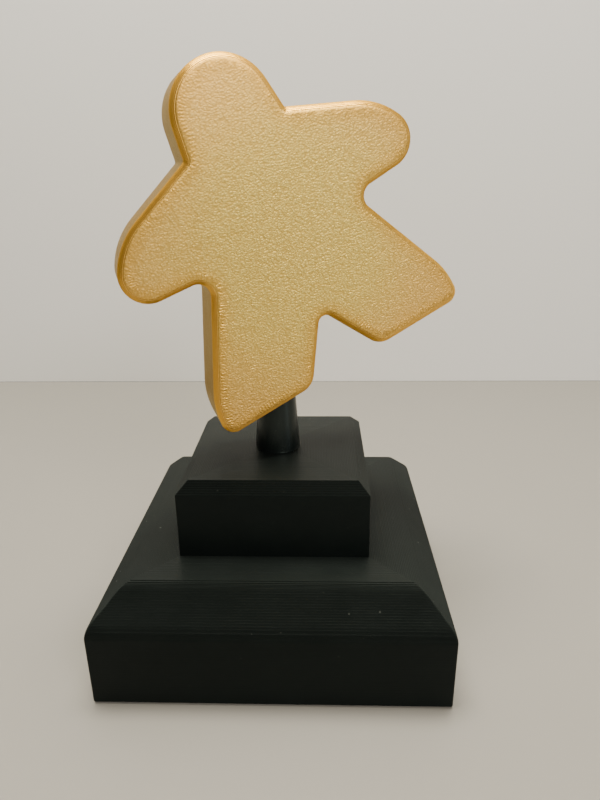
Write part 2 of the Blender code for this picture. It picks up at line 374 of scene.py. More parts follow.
def square_ring(bm, half, z):
    made = bmesh.ops.create_grid(bm, x_segments=1, y_segments=1, size=half,
                                 matrix=Matrix.Translation((0, 0, z)))
    edges = list({e for v in made["verts"] for e in v.link_edges})
    faces = list({f for v in made["verts"] for f in v.link_faces})
    bmesh.ops.delete(bm, geom=faces, context="FACES_ONLY")
    return edges


socket_z = UP_TOP - SOCKET_DEPTH
socket_mouth, socket_end = square_ring(bm, SOCKET_HALF, UP_TOP), square_ring(bm, SOCKET_HALF, socket_z)
bore_low, bore_high = circle(bm, BORE_R, 0, UP_LOW), circle(bm, BORE_R, 0, socket_z)
pin_holes = [blind_hole(bm, PIN_HOLE_R, x, UP_LOW, UP_LOW + PIN_HOLE_DEPTH) for x in (-PIN_X, PIN_X)]
fill_between(bm, under, bore_low, *pin_holes)
fill_between(bm, rim, socket_mouth)
tube(bm, socket_mouth, socket_end)
fill_between(bm, socket_end, bore_high)
tube(bm, bore_low, bore_high)
upper_bm = bm
print("upper plinth:", len(steps_up), "rings, open edges:", sum(not e.is_manifold for e in bm.edges))


# %% [markdown]
# The post is round and slightly tapered, so a full spin of half its outline makes it. The tenon
# below is square: the same spin serves, if the rings of the tenon are pushed out to a square. The
# top is then sliced parallel to the sole of the meeple, which leans.

# %% Post shape
TILT, YAW = radians(26.1), radians(20.0)
SOLE_Z, LEG_X = 66.2 * MM, -20.2 * MM
LEAN = Matrix.Rotation(YAW, 4, "Z") @ Matrix.Rotation(-TILT, 4, "Y")
POST_LOW, POST_FOOT_R, POST_TOP_R, POST_FLARE = UP_TOP + SEAT, 6.4 * MM, 4.9 * MM, 0.15 * MM
FLARE_RISE, POST_HIGH = 2.5 * POST_FLARE, SOLE_Z + POST_FOOT_R
TENON_HALF, TENON_DEPTH = 4.5 * MM, 6 * MM


def post_inset(z):
    """How far the post is inside its widest radius at a height."""
    up = (z - POST_LOW) / (POST_HIGH - POST_LOW)
    flare = POST_FLARE * max(0.0, 1 - (z - POST_LOW) / FLARE_RISE) ** 2
    return POST_FLARE - flare + (POST_FOOT_R - POST_TOP_R) * up


bm = bmesh.new()
tenon_low = POST_LOW - TENON_DEPTH
outside = [(POST_FOOT_R + POST_FLARE - inset, z) for inset, z in beads(post_inset, POST_LOW, POST_HIGH)]
profile = ([(BORE_R, POST_HIGH), (BORE_R, tenon_low), (TENON_HALF, tenon_low), (TENON_HALF, POST_LOW)]
           + outside)
verts = [bm.verts.new((r, 0, z)) for r, z in profile]
edges = [bm.edges.new(pair) for pair in zip(verts, verts[1:] + verts[:1])]
bmesh.ops.spin(bm, geom=verts + edges, cent=(0, 0, 0), axis=(0, 0, 1), angle=2 * pi, steps=96,
               use_merge=True)
for vert in bm.verts:
    radius = hypot(vert.co.x, vert.co.y)
    if vert.co.z < POST_LOW + TOUCH and abs(radius - TENON_HALF) < TOUCH:
        grow = radius / max(abs(vert.co.x), abs(vert.co.y))
        vert.co.x, vert.co.y = vert.co.x * grow, vert.co.y * grow
sole_normal = LEAN.to_3x3() @ Vector((0, 0, 1))
bmesh.ops.bisect_plane(bm, geom=bm.verts[:] + bm.edges[:] + bm.faces[:], dist=HAIR,
                       plane_co=(0, 0, SOLE_Z - SEAT), plane_no=sole_normal, clear_outer=True)
bmesh.ops.bridge_loops(bm, edges=[e for e in bm.edges if e.is_boundary])
post_bm = bm
print("post: open edges", sum(not e.is_manifold for e in bm.edges))

# %% [markdown]
# The meeple is one flat outline with thickness. Each rounded corner is a vertex spun about the
# middle of its arc, and the arcs are joined with straight edges. A figure like this is printed
# lying on its face, so its layers run through its thickness.

# %% Meeple outline
HALF_T = 8.5 * MM
ROUND = 1.9 * MM
RIGHT_SIDE = [(10.4, 81.8, 12.2), (13.4, 64.8, 0.6), (35.7, 56.4, 20.0), (45.9, 41.1, 6.9),
              (20.8, 39.3, 3.2), (36.8, 9.4, 22.0), (37.9, 0.0, 3.5), (10.9, 0.0, 5.6)]
CROTCH = [(0.0, 17.7, 2.1)]
corners = RIGHT_SIDE + CROTCH + [(-x, z, r) for x, z, r in reversed(RIGHT_SIDE)]
ARC_STEP = radians(4)


def outline_face(bm, corners, y):
    """A face in the plane of the figure whose corners (x, z, radius) are arcs."""
    chain = []
    for i, (x, z, radius) in enumerate(corners):
        here = Vector((x, 0, z))
        back = (Vector((corners[i - 1][0], 0, corners[i - 1][1])) - here).normalized()
        ahead = corners[(i + 1) % len(corners)]
        on = (Vector((ahead[0], 0, ahead[1])) - here).normalized()
        half = back.angle(on) / 2
        centre = here + (back + on).normalized() * (radius / sin(half))
        start, end = (here + side * (radius / tan(half)) for side in (back, on))
        turn = (pi - 2 * half) * (1 if (start - centre).cross(end - centre).y > 0 else -1)
        vert = bm.verts.new((start.x * MM, y, start.z * MM))
        bmesh.ops.spin(bm, geom=[vert], cent=(centre.x * MM, y, centre.z * MM), axis=(0, 1, 0),
                       angle=turn, steps=max(3, round(abs(turn) / ARC_STEP)))
        arc = [vert]
        while True:
            others = [e.other_vert(arc[-1]) for e in arc[-1].link_edges]
            following = [v for v in others if v not in arc]
            if not following:
                break
            arc.append(following[0])
        chain.append(arc)
    for arc, following in zip(chain, chain[1:] + chain[:1]):
        bm.edges.new((arc[-1], following[0]))
    return bmesh.ops.contextual_create(bm, geom=bm.edges[:])["faces"][0]


bm = bmesh.new()
front = outline_face(bm, corners, -(HALF_T - ROUND))
spread = [[round(pick(v.co[k] for v in bm.verts) / MM, 1) for pick in (min, max)] for k in (0, 2)]
print("outline of", len(front.verts), "points, spread in mm:", spread)


# %% [markdown]
# Both faces roll over into the side. Each roll is a stack of layers, and insetting the face again
# and again makes it: a small step inwards and a small step outwards each time.

# %% Rolled edges and walls
PRINT_LAYER = 0.2 * MM
ROLL_GROOVE, ROLL_STAIR = 0.025 * MM, 0.45


def roll_inset(depth):
    return ROUND - sqrt(max(ROUND ** 2 - min(depth, ROUND) ** 2, 0.0))


def roll_over(bm, face):
    """Inset a face of the figure through the layers of its rounded edge."""
    inset, depth = 0.0, 0.0
    for wanted, reach in beads(roll_inset, 0.0, ROUND, ROLL_GROOVE, PRINT_LAYER, ROLL_STAIR)[1:]:
        bmesh.ops.inset_region(bm, faces=[face], use_boundary=True, use_even_offset=True,
                               thickness=wanted - inset, depth=reach - depth)
        inset, depth = wanted, reach


grown = bmesh.ops.extrude_face_region(bm, geom=[front], use_keep_orig=True)["geom"]
back = next(g for g in grown if isinstance(g, bmesh.types.BMFace) and len(g.verts) > 8)
bmesh.ops.translate(bm, vec=(0, 2 * (HALF_T - ROUND), 0), verts=back.verts[:])
bmesh.ops.recalc_face_normals(bm, faces=bm.faces[:])
wall_faces = [f for f in bm.faces if len(f.verts) == 4]
plates = [f for f in bm.faces if len(f.verts) > 8]
for plate in plates:
    roll_over(bm, plate)
print("meeple after its rolls:", len(bm.faces), "faces, thickness",
      round((max(v.co.y for v in bm.verts) - min(v.co.y for v in bm.verts)) / MM, 2), "mm")

# %% [markdown]
# The grain of the face follows its rim in a narrow band, so every point of the face has to know
# how far it is from the rim and how far along. The flat faces are cut into a grid, and each
# corner gets the pair of distances as its UV, in millimetres. A second value, the comb, says how
# strong the pattern is there: strongest where the rim lies below or to the left, weakest along the
# upper and right rims. It scales the ridges' bump and the shade painted between them.

# %% Rim distances
GRID, GRID_SHIFT, RIM_SPACING, ON_FACE = 1.5 * MM, 0.37, 0.3 * MM, 0.02 * MM
front_plate = next(p for p in plates if p.calc_center_median().y < 0)
rim_points, walked = [], 0.0
for loop in front_plate.loops:
    a, b = loop.vert.co, loop.link_loop_next.vert.co
    parts = max(1, round((b - a).length / RIM_SPACING))
    for k in range(parts):
        rim_points.append((a.lerp(b, k / parts), walked + (b - a).length * k / parts))
    walked += (b - a).length
RIM_LENGTH = walked / MM
rim_tree = KDTree(len(rim_points))
for k, (point, along) in enumerate(rim_points):
    rim_tree.insert((point.x, 0, point.z), k)
rim_tree.balance()

for axis, low, high in ((0, -46, 46), (2, 0, 82)):
    for k in range(int(low * MM / GRID), int(high * MM / GRID) + 1):
        flat = [f for f in bm.faces if abs(abs(f.calc_center_median().y) - HALF_T) < ON_FACE
                and abs(f.normal.y) > 0.99]
        geom = flat + list({e for f in flat for e in f.edges}) + list({v for f in flat for v in f.verts})
        at, facing = Vector((0, 0, 0)), Vector((0, 0, 0))
        at[axis], facing[axis] = (k + GRID_SHIFT) * GRID, 1.0
        bmesh.ops.bisect_plane(bm, geom=geom, dist=HAIR, plane_co=at, plane_no=facing)
print("grid cut:", len(bm.faces), "faces; the rim is", round(RIM_LENGTH), "mm round")

stand_turn = LEAN.to_3x3()
rim_map = bm.loops.layers.uv.new("rim")
comb_map = bm.loops.layers.float.new("comb")
for face in bm.faces:
    turn_to = None
    for loop in face.loops:
        co = loop.vert.co
        _, k, away = rim_tree.find((co.x, 0, co.z))
        along = rim_points[k][1] / MM
        turn_to = along if turn_to is None else turn_to
        along += RIM_LENGTH * round((turn_to - along) / RIM_LENGTH)
        inward = away / MM if abs(abs(co.y) - HALF_T) < ON_FACE else -away / MM
        loop[rim_map].uv = (along, inward)
        facing = stand_turn @ (rim_points[k][0] - co)
        facing = facing.normalized() if away > TOUCH else Vector((0, 0, 0))
        loop[comb_map] = min(1.0, max(0.0, 0.45 - 0.75 * facing.z - 0.35 * facing.x))

# %% [markdown]
# The meeple is stood up on the post: turned, leaned and lifted as one. Its sole is then drilled
# straight down the line of the bolt, and the wider mouth of the hole holds a threaded insert.

# %% Meeple in place
INSERT_HOLE_R, INSERT_HOLE_TOP, BOLT_HOLE_TOP = 4.0 * MM, 76.2 * MM, 79 * MM
COOLED = 0.9995                   # a print shrinks a little as it cools
stand = Matrix.Translation((0, 0, SOLE_Z)) @ LEAN @ Matrix.Translation((-LEG_X, 0, 0))
sole = min((f for f in wall_faces if f.calc_center_median().x < 0),
           key=lambda f: f.calc_center_median().z)
sole_ring = sole.edges[:]
bmesh.ops.scale(bm, vec=(COOLED, COOLED, COOLED), verts=bm.verts[:])
bmesh.ops.delete(bm, geom=[sole], context="FACES_ONLY")
bmesh.ops.transform(bm, matrix=stand, verts=bm.verts[:])
mouth = circle(bm, INSERT_HOLE_R, 0, 0, 40)
onto_sole = Matrix.Identity(4)
onto_sole[2][0], onto_sole[2][1] = -sole_normal.x / sole_normal.z, -sole_normal.y / sole_normal.z
onto_sole[2][3] = SOLE_Z
bmesh.ops.transform(bm, matrix=onto_sole, verts=list({v for e in mouth for v in e.verts}))
fill_between(bm, sole_ring, mouth)
end_wide = circle(bm, INSERT_HOLE_R, 0, INSERT_HOLE_TOP, 40)
end_narrow = circle(bm, BORE_R, 0, INSERT_HOLE_TOP, 40)
end_bolt = circle(bm, BORE_R, 0, BOLT_HOLE_TOP, 40)
tube(bm, mouth, end_wide)
tube(bm, end_wide, end_narrow)
tube(bm, end_narrow, end_bolt)
cap(bm, end_bolt)
meeple_bm = bm
print("meeple: open edges", sum(not e.is_manifold for e in bm.edges), "faces", len(bm.faces))


# %% [markdown]
# The cap screw that ties the trophy together has a real thread, a screw line that climbs by one
# pitch each turn. Spinning a V-shaped profile while lifting it makes exactly that, and the turns
# join where they meet. Two flat cuts square off its ends, and bridges carry it to shank and tip.

# %% Cap screw shape
bolt_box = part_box("tie_bolt")
HEAD_R, HEAD_LOW, HEAD_H, SHANK_R = 4.25 * MM, bolt_box[0][2], 5 * MM, 2.5 * MM
TIP_Z, PITCH, THREAD_DEPTH, THREAD_LOW = bolt_box[1][2], 0.8 * MM, 0.4 * MM, 55 * MM
KEY_R, KEY_DEPTH, FLUTES, FLUTE_DEPTH, TURN_STEPS = 2.3 * MM, 2.7 * MM, 40, 0.05, 40
ROOT_R, CREST_R = SHANK_R - THREAD_DEPTH, SHANK_R - 0.02 * MM

bm = bmesh.new()
turns = round((TIP_Z - THREAD_LOW) / PITCH)
verts = [bm.verts.new((r, 0, THREAD_LOW - PITCH + part * PITCH))
         for r, part in ((ROOT_R, 0.0), (CREST_R, 0.42), (CREST_R, 0.58), (ROOT_R, 1.0))]
edges = [bm.edges.new(pair) for pair in zip(verts, verts[1:])]
bmesh.ops.spin(bm, geom=verts + edges, cent=(0, 0, 0), axis=(0, 0, 1), angle=2 * pi * (turns + 1),
               dvec=(0, 0, PITCH / TURN_STEPS), steps=TURN_STEPS * (turns + 1))
bmesh.ops.remove_doubles(bm, verts=bm.verts[:], dist=TOUCH)
for height, facing in ((THREAD_LOW + 0.2 * MM, -1), (TIP_Z - 0.9 * MM, 1)):
    bmesh.ops.bisect_plane(bm, geom=bm.verts[:] + bm.edges[:] + bm.faces[:], dist=HAIR,
                           plane_co=(0, 0, height), plane_no=(0, 0, facing), clear_outer=True)
halfway = (THREAD_LOW + TIP_Z) / 2
cuts = [[e for e in bm.edges if e.is_boundary and (e.verts[0].co.z > halfway) == upper]
        for upper in (False, True)]
shank_top = circle(bm, SHANK_R, 0, THREAD_LOW - 0.3 * MM, 40)
shank_low = circle(bm, SHANK_R, 0, HEAD_LOW + HEAD_H, 40)
tip = circle(bm, SHANK_R - 2 * THREAD_DEPTH, 0, TIP_Z, 40)
tube(bm, cuts[0], shank_top)
tube(bm, shank_top, shank_low)
tube(bm, cuts[1], tip)
cap(bm, tip)
low_bevel, high_bevel = 0.4 * MM, 0.2 * MM
rings = [circle(bm, radius, 0, HEAD_LOW + lift, 2 * FLUTES) for radius, lift in
         ((HEAD_R - low_bevel, 0.0), (HEAD_R, low_bevel),
          (HEAD_R, HEAD_H - high_bevel), (HEAD_R - high_bevel, HEAD_H))]
for ring in rings[1:3]:
    for vert in {v for e in ring for v in e.verts}:
        flute = round(atan2(vert.co.y, vert.co.x) / (pi / FLUTES)) % 2
        shrink = 1 - FLUTE_DEPTH * flute
        bmesh.ops.scale(bm, vec=(shrink, shrink, 1), verts=[vert])
for ring, following in zip(rings, rings[1:]):
    tube(bm, ring, following)
key_mouth, key_end = circle(bm, KEY_R, 0, HEAD_LOW, 6), circle(bm, KEY_R, 0, HEAD_LOW + KEY_DEPTH, 6)
fill_between(bm, rings[0], key_mouth)
tube(bm, key_mouth, key_end)
cap(bm, key_end)
fill_between(bm, rings[3], shank_low)
bolt_bm = bm
print("cap screw:", turns, "turns of thread, open edges", sum(not e.is_manifold for e in bm.edges))

# %% [markdown]
# The insert is pressed hot into the leg, and its knurl keeps it there. Two bands of slanted teeth
# run opposite ways, which is one spin whose rings are nudged in and out and then twisted.

# %% Insert shape
insert_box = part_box("leg_insert")
INSERT_LOW, INSERT_HIGH, TEETH, TOOTH_DEPTH = insert_box[0][2], insert_box[1][2], 28, 0.09
# each level: radius in mm, part of the height, toothed or plain, twist in half teeth
levels = [(3.1, 0.0, 0, 0), (3.7, 0.075, 1, 0), (3.7, 0.4, 1, 5), (3.1, 0.45, 0, 5), (3.1, 0.6, 0, 5),
          (3.7, 0.65, 1, 5), (3.7, 0.95, 1, 0), (3.4, 1.0, 0, 0)]
bm = bmesh.new()
rings = []
for radius, part, toothed, twist in levels:
    ring = circle(bm, radius * MM, 0, INSERT_LOW + part * (INSERT_HIGH - INSERT_LOW), 2 * TEETH)
    points = list({v for e in ring for v in e.verts})
    for vert in points:
        tooth = round(atan2(vert.co.y, vert.co.x) / (pi / TEETH)) % 2
        shrink = 1 - TOOTH_DEPTH * tooth * toothed
        bmesh.ops.scale(bm, vec=(shrink, shrink, 1), verts=[vert])
    turn = Matrix.Rotation(twist * pi / TEETH / 2, 3, "Z")
    bmesh.ops.rotate(bm, cent=(0, 0, 0), matrix=turn, verts=points)
    rings.append(ring)
for ring, following in zip(rings, rings[1:]):
    tube(bm, ring, following)
inner_low, inner_high = circle(bm, BORE_R, 0, INSERT_LOW, 40), circle(bm, BORE_R, 0, INSERT_HIGH, 40)
fill_between(bm, rings[0], inner_low)
fill_between(bm, rings[-1], inner_high)
tube(bm, inner_low, inner_high)
insert_bm = bm
print("insert:", TEETH, "teeth a band, open edges", sum(not e.is_manifold for e in bm.edges))


# %% [markdown]
# The finishes share a handful of effects, and each is a node group that is built once. All of them
# work in millimetres, so a size in a group is a size on the object. First come the printing marks:
# the lines between layers, and the pebbled grain that a textured print bed presses into a face.

# %% Printing marks
def in_mm(tree, place=None):
    """Object coordinates in millimetres, turned into a piece's own frame if it has one."""
    coords = add(tree, "ShaderNodeTexCoord").outputs["Object"]
    if place is not None:
        mapping = add(tree, "ShaderNodeMapping", {"vector_type": "TEXTURE"}, Vector=coords)
        mapping.inputs["Location"].default_value = place.to_translation()
        mapping.inputs["Rotation"].default_value = place.to_euler()
        coords = mapping.outputs["Vector"]
    scaled = add(tree, "ShaderNodeVectorMath", {"operation": "SCALE"}, i0=coords, Scale=1 / MM)
    return scaled.outputs["Vector"]


def noise(tree, vector, size, detail=2.0, roughness=0.5):
    node = add(tree, "ShaderNodeTexNoise", Vector=vector, Scale=1.0 / size, Detail=detail,
               Roughness=roughness)
    return node.outputs["Fac"]


def stretch(tree, vector, scale):
    node = add(tree, "ShaderNodeMapping", Vector=vector)
    node.inputs["Scale"].default_value = scale
    return node.outputs["Vector"]


def mix(tree, factor, a, b):
    node = add(tree, "ShaderNodeMix", {"data_type": "RGBA"}, i0=factor, i6=a, i7=b)
    return node.outputs[2]


layer_group, g_in, g_out = new_group(
    "layer_lines",
    [("Vector", "NodeSocketVector", None), ("Across", "NodeSocketFloat", 0.0),
     ("Pitch", "NodeSocketFloat", 0.2)],
    [("Height", "NodeSocketFloat"), ("Band", "NodeSocketFloat")])
t = layer_group
sway = noise(t, g_in.outputs["Vector"], 6.0, 3.0)
across = math(t, "ADD", g_in.outputs["Across"], math(t, "MULTIPLY", sway, 0.12))
phase = math(t, "DIVIDE", across, g_in.outputs["Pitch"])
saw = math(t, "FRACT", phase)
from_crest = math(t, "ABSOLUTE", math(t, "MULTIPLY_ADD", saw, 2.0, -1.0))
bead = math(t, "SUBTRACT", 1.0, math(t, "POWER", from_crest, 2.5))
layer_number = math(t, "FLOOR", phase)
white = add(t, "ShaderNodeTexWhiteNoise", {"noise_dimensions": "1D"}, W=layer_number).outputs["Value"]
height = math(t, "MULTIPLY_ADD", white, 0.6, bead)
t.links.new(height, g_out.inputs["Height"])
t.links.new(white, g_out.inputs["Band"])

pebble_group, g_in, g_out = new_group(
    "bed_grain",
    [("Vector", "NodeSocketVector", None), ("Size", "NodeSocketFloat", 0.8)],
    [("Height", "NodeSocketFloat"), ("Glint", "NodeSocketFloat")])
t = pebble_group
wander = add(t, "ShaderNodeTexNoise", Vector=g_in.outputs["Vector"], Scale=0.9, Detail=2.0).outputs["Color"]
bent = add(t, "ShaderNodeVectorMath", {"operation": "MULTIPLY_ADD"}, i0=wander, i1=(0.5, 0.5, 0.5),
           i2=g_in.outputs["Vector"]).outputs["Vector"]
size = g_in.outputs["Size"]
cube = add(t, "ShaderNodeCombineXYZ", X=size, Y=size, Z=size).outputs["Vector"]
scaled = add(t, "ShaderNodeVectorMath", {"operation": "DIVIDE"}, i0=bent, i1=cube).outputs["Vector"]
cells = add(t, "ShaderNodeTexVoronoi", {"feature": "SMOOTH_F1"}, Vector=scaled, Scale=1.0, Smoothness=0.55,
            Randomness=1.0)
domes = math(t, "SUBTRACT", 1.0, cells.outputs["Distance"])
fine = noise(t, g_in.outputs["Vector"], 0.45, 3.0)
height = math(t, "ADD", math(t, "MULTIPLY", domes, 0.85), math(t, "MULTIPLY", fine, 0.75))
# painted highlight: the highest points of the grain are picked out, to be paled as if they caught the light
peak_glint = ramp(t, height, 0.95, 1.25)
t.links.new(height, g_out.inputs["Height"])
t.links.new(peak_glint, g_out.inputs["Glint"])
print("groups:", layer_group.name, pebble_group.name)

# %% [markdown]
# The first line that the nozzle lays follows the rim, and the grain catches on it. That leaves short
# ridges at right angles to the rim, like a comb. The group reads the rim distances, so the teeth
# follow every curve, and a slow noise lets them fade and return.

# %% Rim comb
comb_group, g_in, g_out = new_group(
    "rim_comb",
    [("Along", "NodeSocketFloat", 0.0), ("Inward", "NodeSocketFloat", 0.0),
     ("Vector", "NodeSocketVector", None), ("Pitch", "NodeSocketFloat", 1.0),
     ("Reach", "NodeSocketFloat", 3.0)],
    [("Height", "NodeSocketFloat"), ("Mask", "NodeSocketFloat")])
t = comb_group
wobble = noise(t, g_in.outputs["Vector"], 1.6, 2.0)
shifted = math(t, "ADD", g_in.outputs["Along"], math(t, "MULTIPLY", wobble, 1.3))
turns = math(t, "DIVIDE", shifted, g_in.outputs["Pitch"])
teeth = math(t, "MULTIPLY_ADD", math(t, "SINE", math(t, "MULTIPLY", turns, 2 * pi)), 0.5, 0.5)
patches = ramp(t, noise(t, g_in.outputs["Vector"], 11.0, 1.0), 0.40, 0.58, 0.25, 1.0)
fade = add(t, "ShaderNodeMapRange", {"interpolation_type": "SMOOTHSTEP"}, Value=g_in.outputs["Inward"])
fade.inputs["From Min"].default_value = 0.2
t.links.new(g_in.outputs["Reach"], fade.inputs["From Max"])
fade.inputs["To Min"].default_value, fade.inputs["To Max"].default_value = 1.0, 0.0
start = ramp(t, g_in.outputs["Inward"], 0.0, 0.15)
mask = math(t, "MULTIPLY", math(t, "MULTIPLY", fade.outputs["Result"], start), patches)
t.links.new(math(t, "MULTIPLY", teeth, mask), g_out.inputs["Height"])
t.links.new(mask, g_out.inputs["Mask"])
print("group:", comb_group.name)

# %% [markdown]
# The marks of use are shared too: fine dust that settles on faces that look up, hairline scuffs that
# run in any direction, and edges rubbed a little brighter by handling.

# %% Dust, scuffs and worn edges
dust_group, g_in, g_out = new_group(
    "dust",
    [("Vector", "NodeSocketVector", None), ("Amount", "NodeSocketFloat", 0.5)],
    [("Mask", "NodeSocketFloat"), ("Film", "NodeSocketFloat")])
t = dust_group
normal = add(t, "ShaderNodeSeparateXYZ", Vector=add(t, "ShaderNodeNewGeometry").outputs["Normal"])
upward = ramp(t, normal.outputs["Z"], 0.3, 0.95, 0.12, 1.0)
motes = add(t, "ShaderNodeTexVoronoi", Vector=g_in.outputs["Vector"], Scale=0.30, Randomness=1.0)
chosen = add(t, "ShaderNodeSeparateColor", Color=motes.outputs["Color"]).outputs[0]
away = math(t, "DIVIDE", motes.outputs["Distance"], math(t, "ADD", chosen, 0.2))
spot = ramp(t, away, 0.03, 0.09, 1.0, 0.0)
rare = ramp(t, chosen, 0.62, 0.66)
film = noise(t, g_in.outputs["Vector"], 9.0, 5.0, 0.65)
mask = math(t, "MULTIPLY", math(t, "MULTIPLY", spot, rare),
            math(t, "MULTIPLY", upward, g_in.outputs["Amount"]))
t.links.new(mask, g_out.inputs["Mask"])
t.links.new(math(t, "MULTIPLY", film, upward), g_out.inputs["Film"])

scuff_group, g_in, g_out = new_group(
    "scuffs", [("Vector", "NodeSocketVector", None), ("Length", "NodeSocketFloat", 6.0)],
    [("Mask", "NodeSocketFloat")])
t = scuff_group
masks = []
for turn, seed in ((0.5, 3.0), (1.9, 41.0), (2.7, 87.0)):
    turned = add(t, "ShaderNodeMapping", Vector=g_in.outputs["Vector"])
    turned.inputs["Rotation"].default_value = (0.4 * turn, turn, 0.7 * turn)
    turned.inputs["Location"].default_value = (seed, seed, seed)
    squeezed = add(t, "ShaderNodeMapping", Vector=turned.outputs["Vector"])
    squeezed.inputs["Scale"].default_value = (0.12, 2.2, 2.2)
    line = add(t, "ShaderNodeTexNoise", Vector=squeezed.outputs["Vector"], Scale=1.0, Detail=1.0)
    patch = ramp(t, noise(t, turned.outputs["Vector"], 8.0, 1.0), 0.52, 0.66)
    masks.append(math(t, "MULTIPLY", ramp(t, line.outputs["Fac"], 0.70, 0.76), patch))
both = math(t, "MAXIMUM", math(t, "MAXIMUM", masks[0], masks[1]), masks[2])
t.links.new(both, g_out.inputs["Mask"])
print("groups:", dust_group.name, scuff_group.name)


# %% [markdown]
# The meeple is printed from silk filament, a plastic full of fine pearl flakes. It shines almost
# like a metal: pale where a rough face scatters the light, and a deep orange gold where a smooth
# edge mirrors a dark room. So it is nearly all metallic, and less so on the walls. The face is
# rough and pebbled, and the rolled edges and walls are smoother. Their base colour is also painted
# darker than the face's: a deeper orange on the rolled edges, as painted shade for the dark room
# they mirror, and a much darker gold on the walls, as painted shade.

# %% Gold silk plastic
def group_node(tree, group, **inputs):
    node = tree.nodes.new("ShaderNodeGroup")
    node.node_tree = group
    for key, value in inputs.items():
        if isinstance(value, bpy.types.NodeSocket):
            tree.links.new(value, node.inputs[key])
        else:
            node.inputs[key].default_value = value
    return node


def new_material(name):
    mat = bpy.data.materials.new(name)
    mat.use_nodes = True
    return mat, mat.node_tree, mat.node_tree.nodes["Principled BSDF"]


def bump(tree, shader, height, distance):
    node = add(tree, "ShaderNodeBump", Height=height, Distance=distance * MM, Strength=1.0)
    tree.links.new(node.outputs["Normal"], shader.inputs["Normal"])


GRAIN_STRETCH = (0.85, 1.0, 1.1)
# The edge and wall colours below are the same filament's gold painted darker: painted shade for the rolled
# edges and the side walls.
GOLD_FACE, GOLD_WARM = (0.86, 0.63, 0.16, 1), (0.88, 0.54, 0.15, 1)
GOLD_EDGE, GOLD_GLINT = (0.72, 0.38, 0.05, 1), (1.0, 0.84, 0.36, 1)
# The second colour on the next line is painted shade for the hollows of the grain and the grooves of the
# comb.
GOLD_WALL_SHADE, GOLD_HOLLOW_SHADE = (0.19, 0.092, 0.014, 1), (0.62, 0.34, 0.05, 1)
FACE_ROUGH, EDGE_ROUGH, FACE_METAL, WALL_METAL = 0.40, 0.28, 0.96, 0.76

gold, t, shader = new_material("gold_silk")
plate = in_mm(t, stand)
parts = add(t, "ShaderNodeSeparateXYZ", Vector=plate)
depth = math(t, "ABSOLUTE", parts.outputs["Y"])
on_face = ramp(t, depth, HALF_T / MM - 0.35, HALF_T / MM - 0.05)
rim_uv = add(t, "ShaderNodeSeparateXYZ", Vector=add(t, "ShaderNodeUVMap", {"uv_map": "rim"}).outputs["UV"])
grain = group_node(t, pebble_group, Vector=stretch(t, plate, GRAIN_STRETCH), Size=0.48)
comb = group_node(t, comb_group, Along=rim_uv.outputs["X"], Inward=rim_uv.outputs["Y"], Vector=plate,
                  Pitch=0.8, Reach=2.5)
comb_here = add(t, "ShaderNodeAttribute", {"attribute_name": "comb"}).outputs["Fac"]
lines = group_node(t, layer_group, Vector=plate, Across=parts.outputs["Y"], Pitch=PRINT_LAYER / MM)

from_middle = add(t, "ShaderNodeVectorMath", {"operation": "DISTANCE"}, i0=plate, i1=(0, 0, 36))
warmth = ramp(t, math(t, "MULTIPLY_ADD", noise(t, plate, 14.0, 3.0), 14.0, from_middle.outputs["Value"]),
              24.0, 56.0)
face_colour = mix(t, warmth, GOLD_FACE, GOLD_WARM)
frayed = math(t, "MULTIPLY_ADD", noise(t, plate, 3.0, 2.0), 2.0, rim_uv.outputs["Y"])
near_rim = ramp(t, frayed, 0.6, 5.0, 0.45, 0.0)
face_colour = mix(t, near_rim, face_colour, GOLD_EDGE)
# painted shade: the grooves between the comb's ridges are mixed towards a darker gold
between = math(t, "MULTIPLY", math(t, "SUBTRACT", comb.outputs["Mask"], comb.outputs["Height"]), comb_here)
face_colour = mix(t, math(t, "MULTIPLY", between, 0.6), face_colour, GOLD_HOLLOW_SHADE)
# painted shade: the low parts of the pebbled grain are mixed towards a darker gold
face_colour = mix(t, ramp(t, grain.outputs["Height"], 0.95, 0.60, 0.0, 0.35), face_colour, GOLD_HOLLOW_SHADE)
# painted highlight: the tops of the grain are mixed towards a pale gold
face_colour = mix(t, math(t, "MULTIPLY", grain.outputs["Glint"], 0.3), face_colour, GOLD_GLINT)
# painted shade: the rolled edges take the deeper edge gold, standing in for the dark room they mirror; the
# faint bands per layer are the print's own
edge_colour = mix(t, math(t, "MULTIPLY", lines.outputs["Band"], 0.20), GOLD_EDGE, GOLD_WARM)
# painted shade: the side walls are mixed to a much darker gold than the face
on_wall = ramp(t, depth, (HALF_T - ROUND) / MM - 0.6, (HALF_T - ROUND) / MM + 0.5, 1.0, 0.0)
edge_colour = mix(t, on_wall, edge_colour, GOLD_WALL_SHADE)
colour = mix(t, on_face, edge_colour, face_colour)
t.links.new(colour, shader.inputs["Base Color"])
rough_face = math(t, "MULTIPLY_ADD", noise(t, plate, 3.0, 3.0), 0.12, FACE_ROUGH)
rough_edge = math(t, "MULTIPLY_ADD", noise(t, plate, 5.0, 3.0), 0.10, EDGE_ROUGH)
roughness = add(t, "ShaderNodeMix", {"data_type": "FLOAT"}, i0=on_face, i2=rough_edge, i3=rough_face)
t.links.new(roughness.outputs[0], shader.inputs["Roughness"])
metallic = math(t, "MULTIPLY_ADD", on_wall, WALL_METAL - FACE_METAL, FACE_METAL)
t.links.new(metallic, shader.inputs["Metallic"])
shader.inputs["Specular Tint"].default_value = (1.0, 0.84, 0.42, 1)
shader.inputs["Specular IOR Level"].default_value = 0.3
teeth = math(t, "MULTIPLY", comb.outputs["Height"], comb_here)
pressed = math(t, "MULTIPLY_ADD", teeth, 0.8, grain.outputs["Height"])
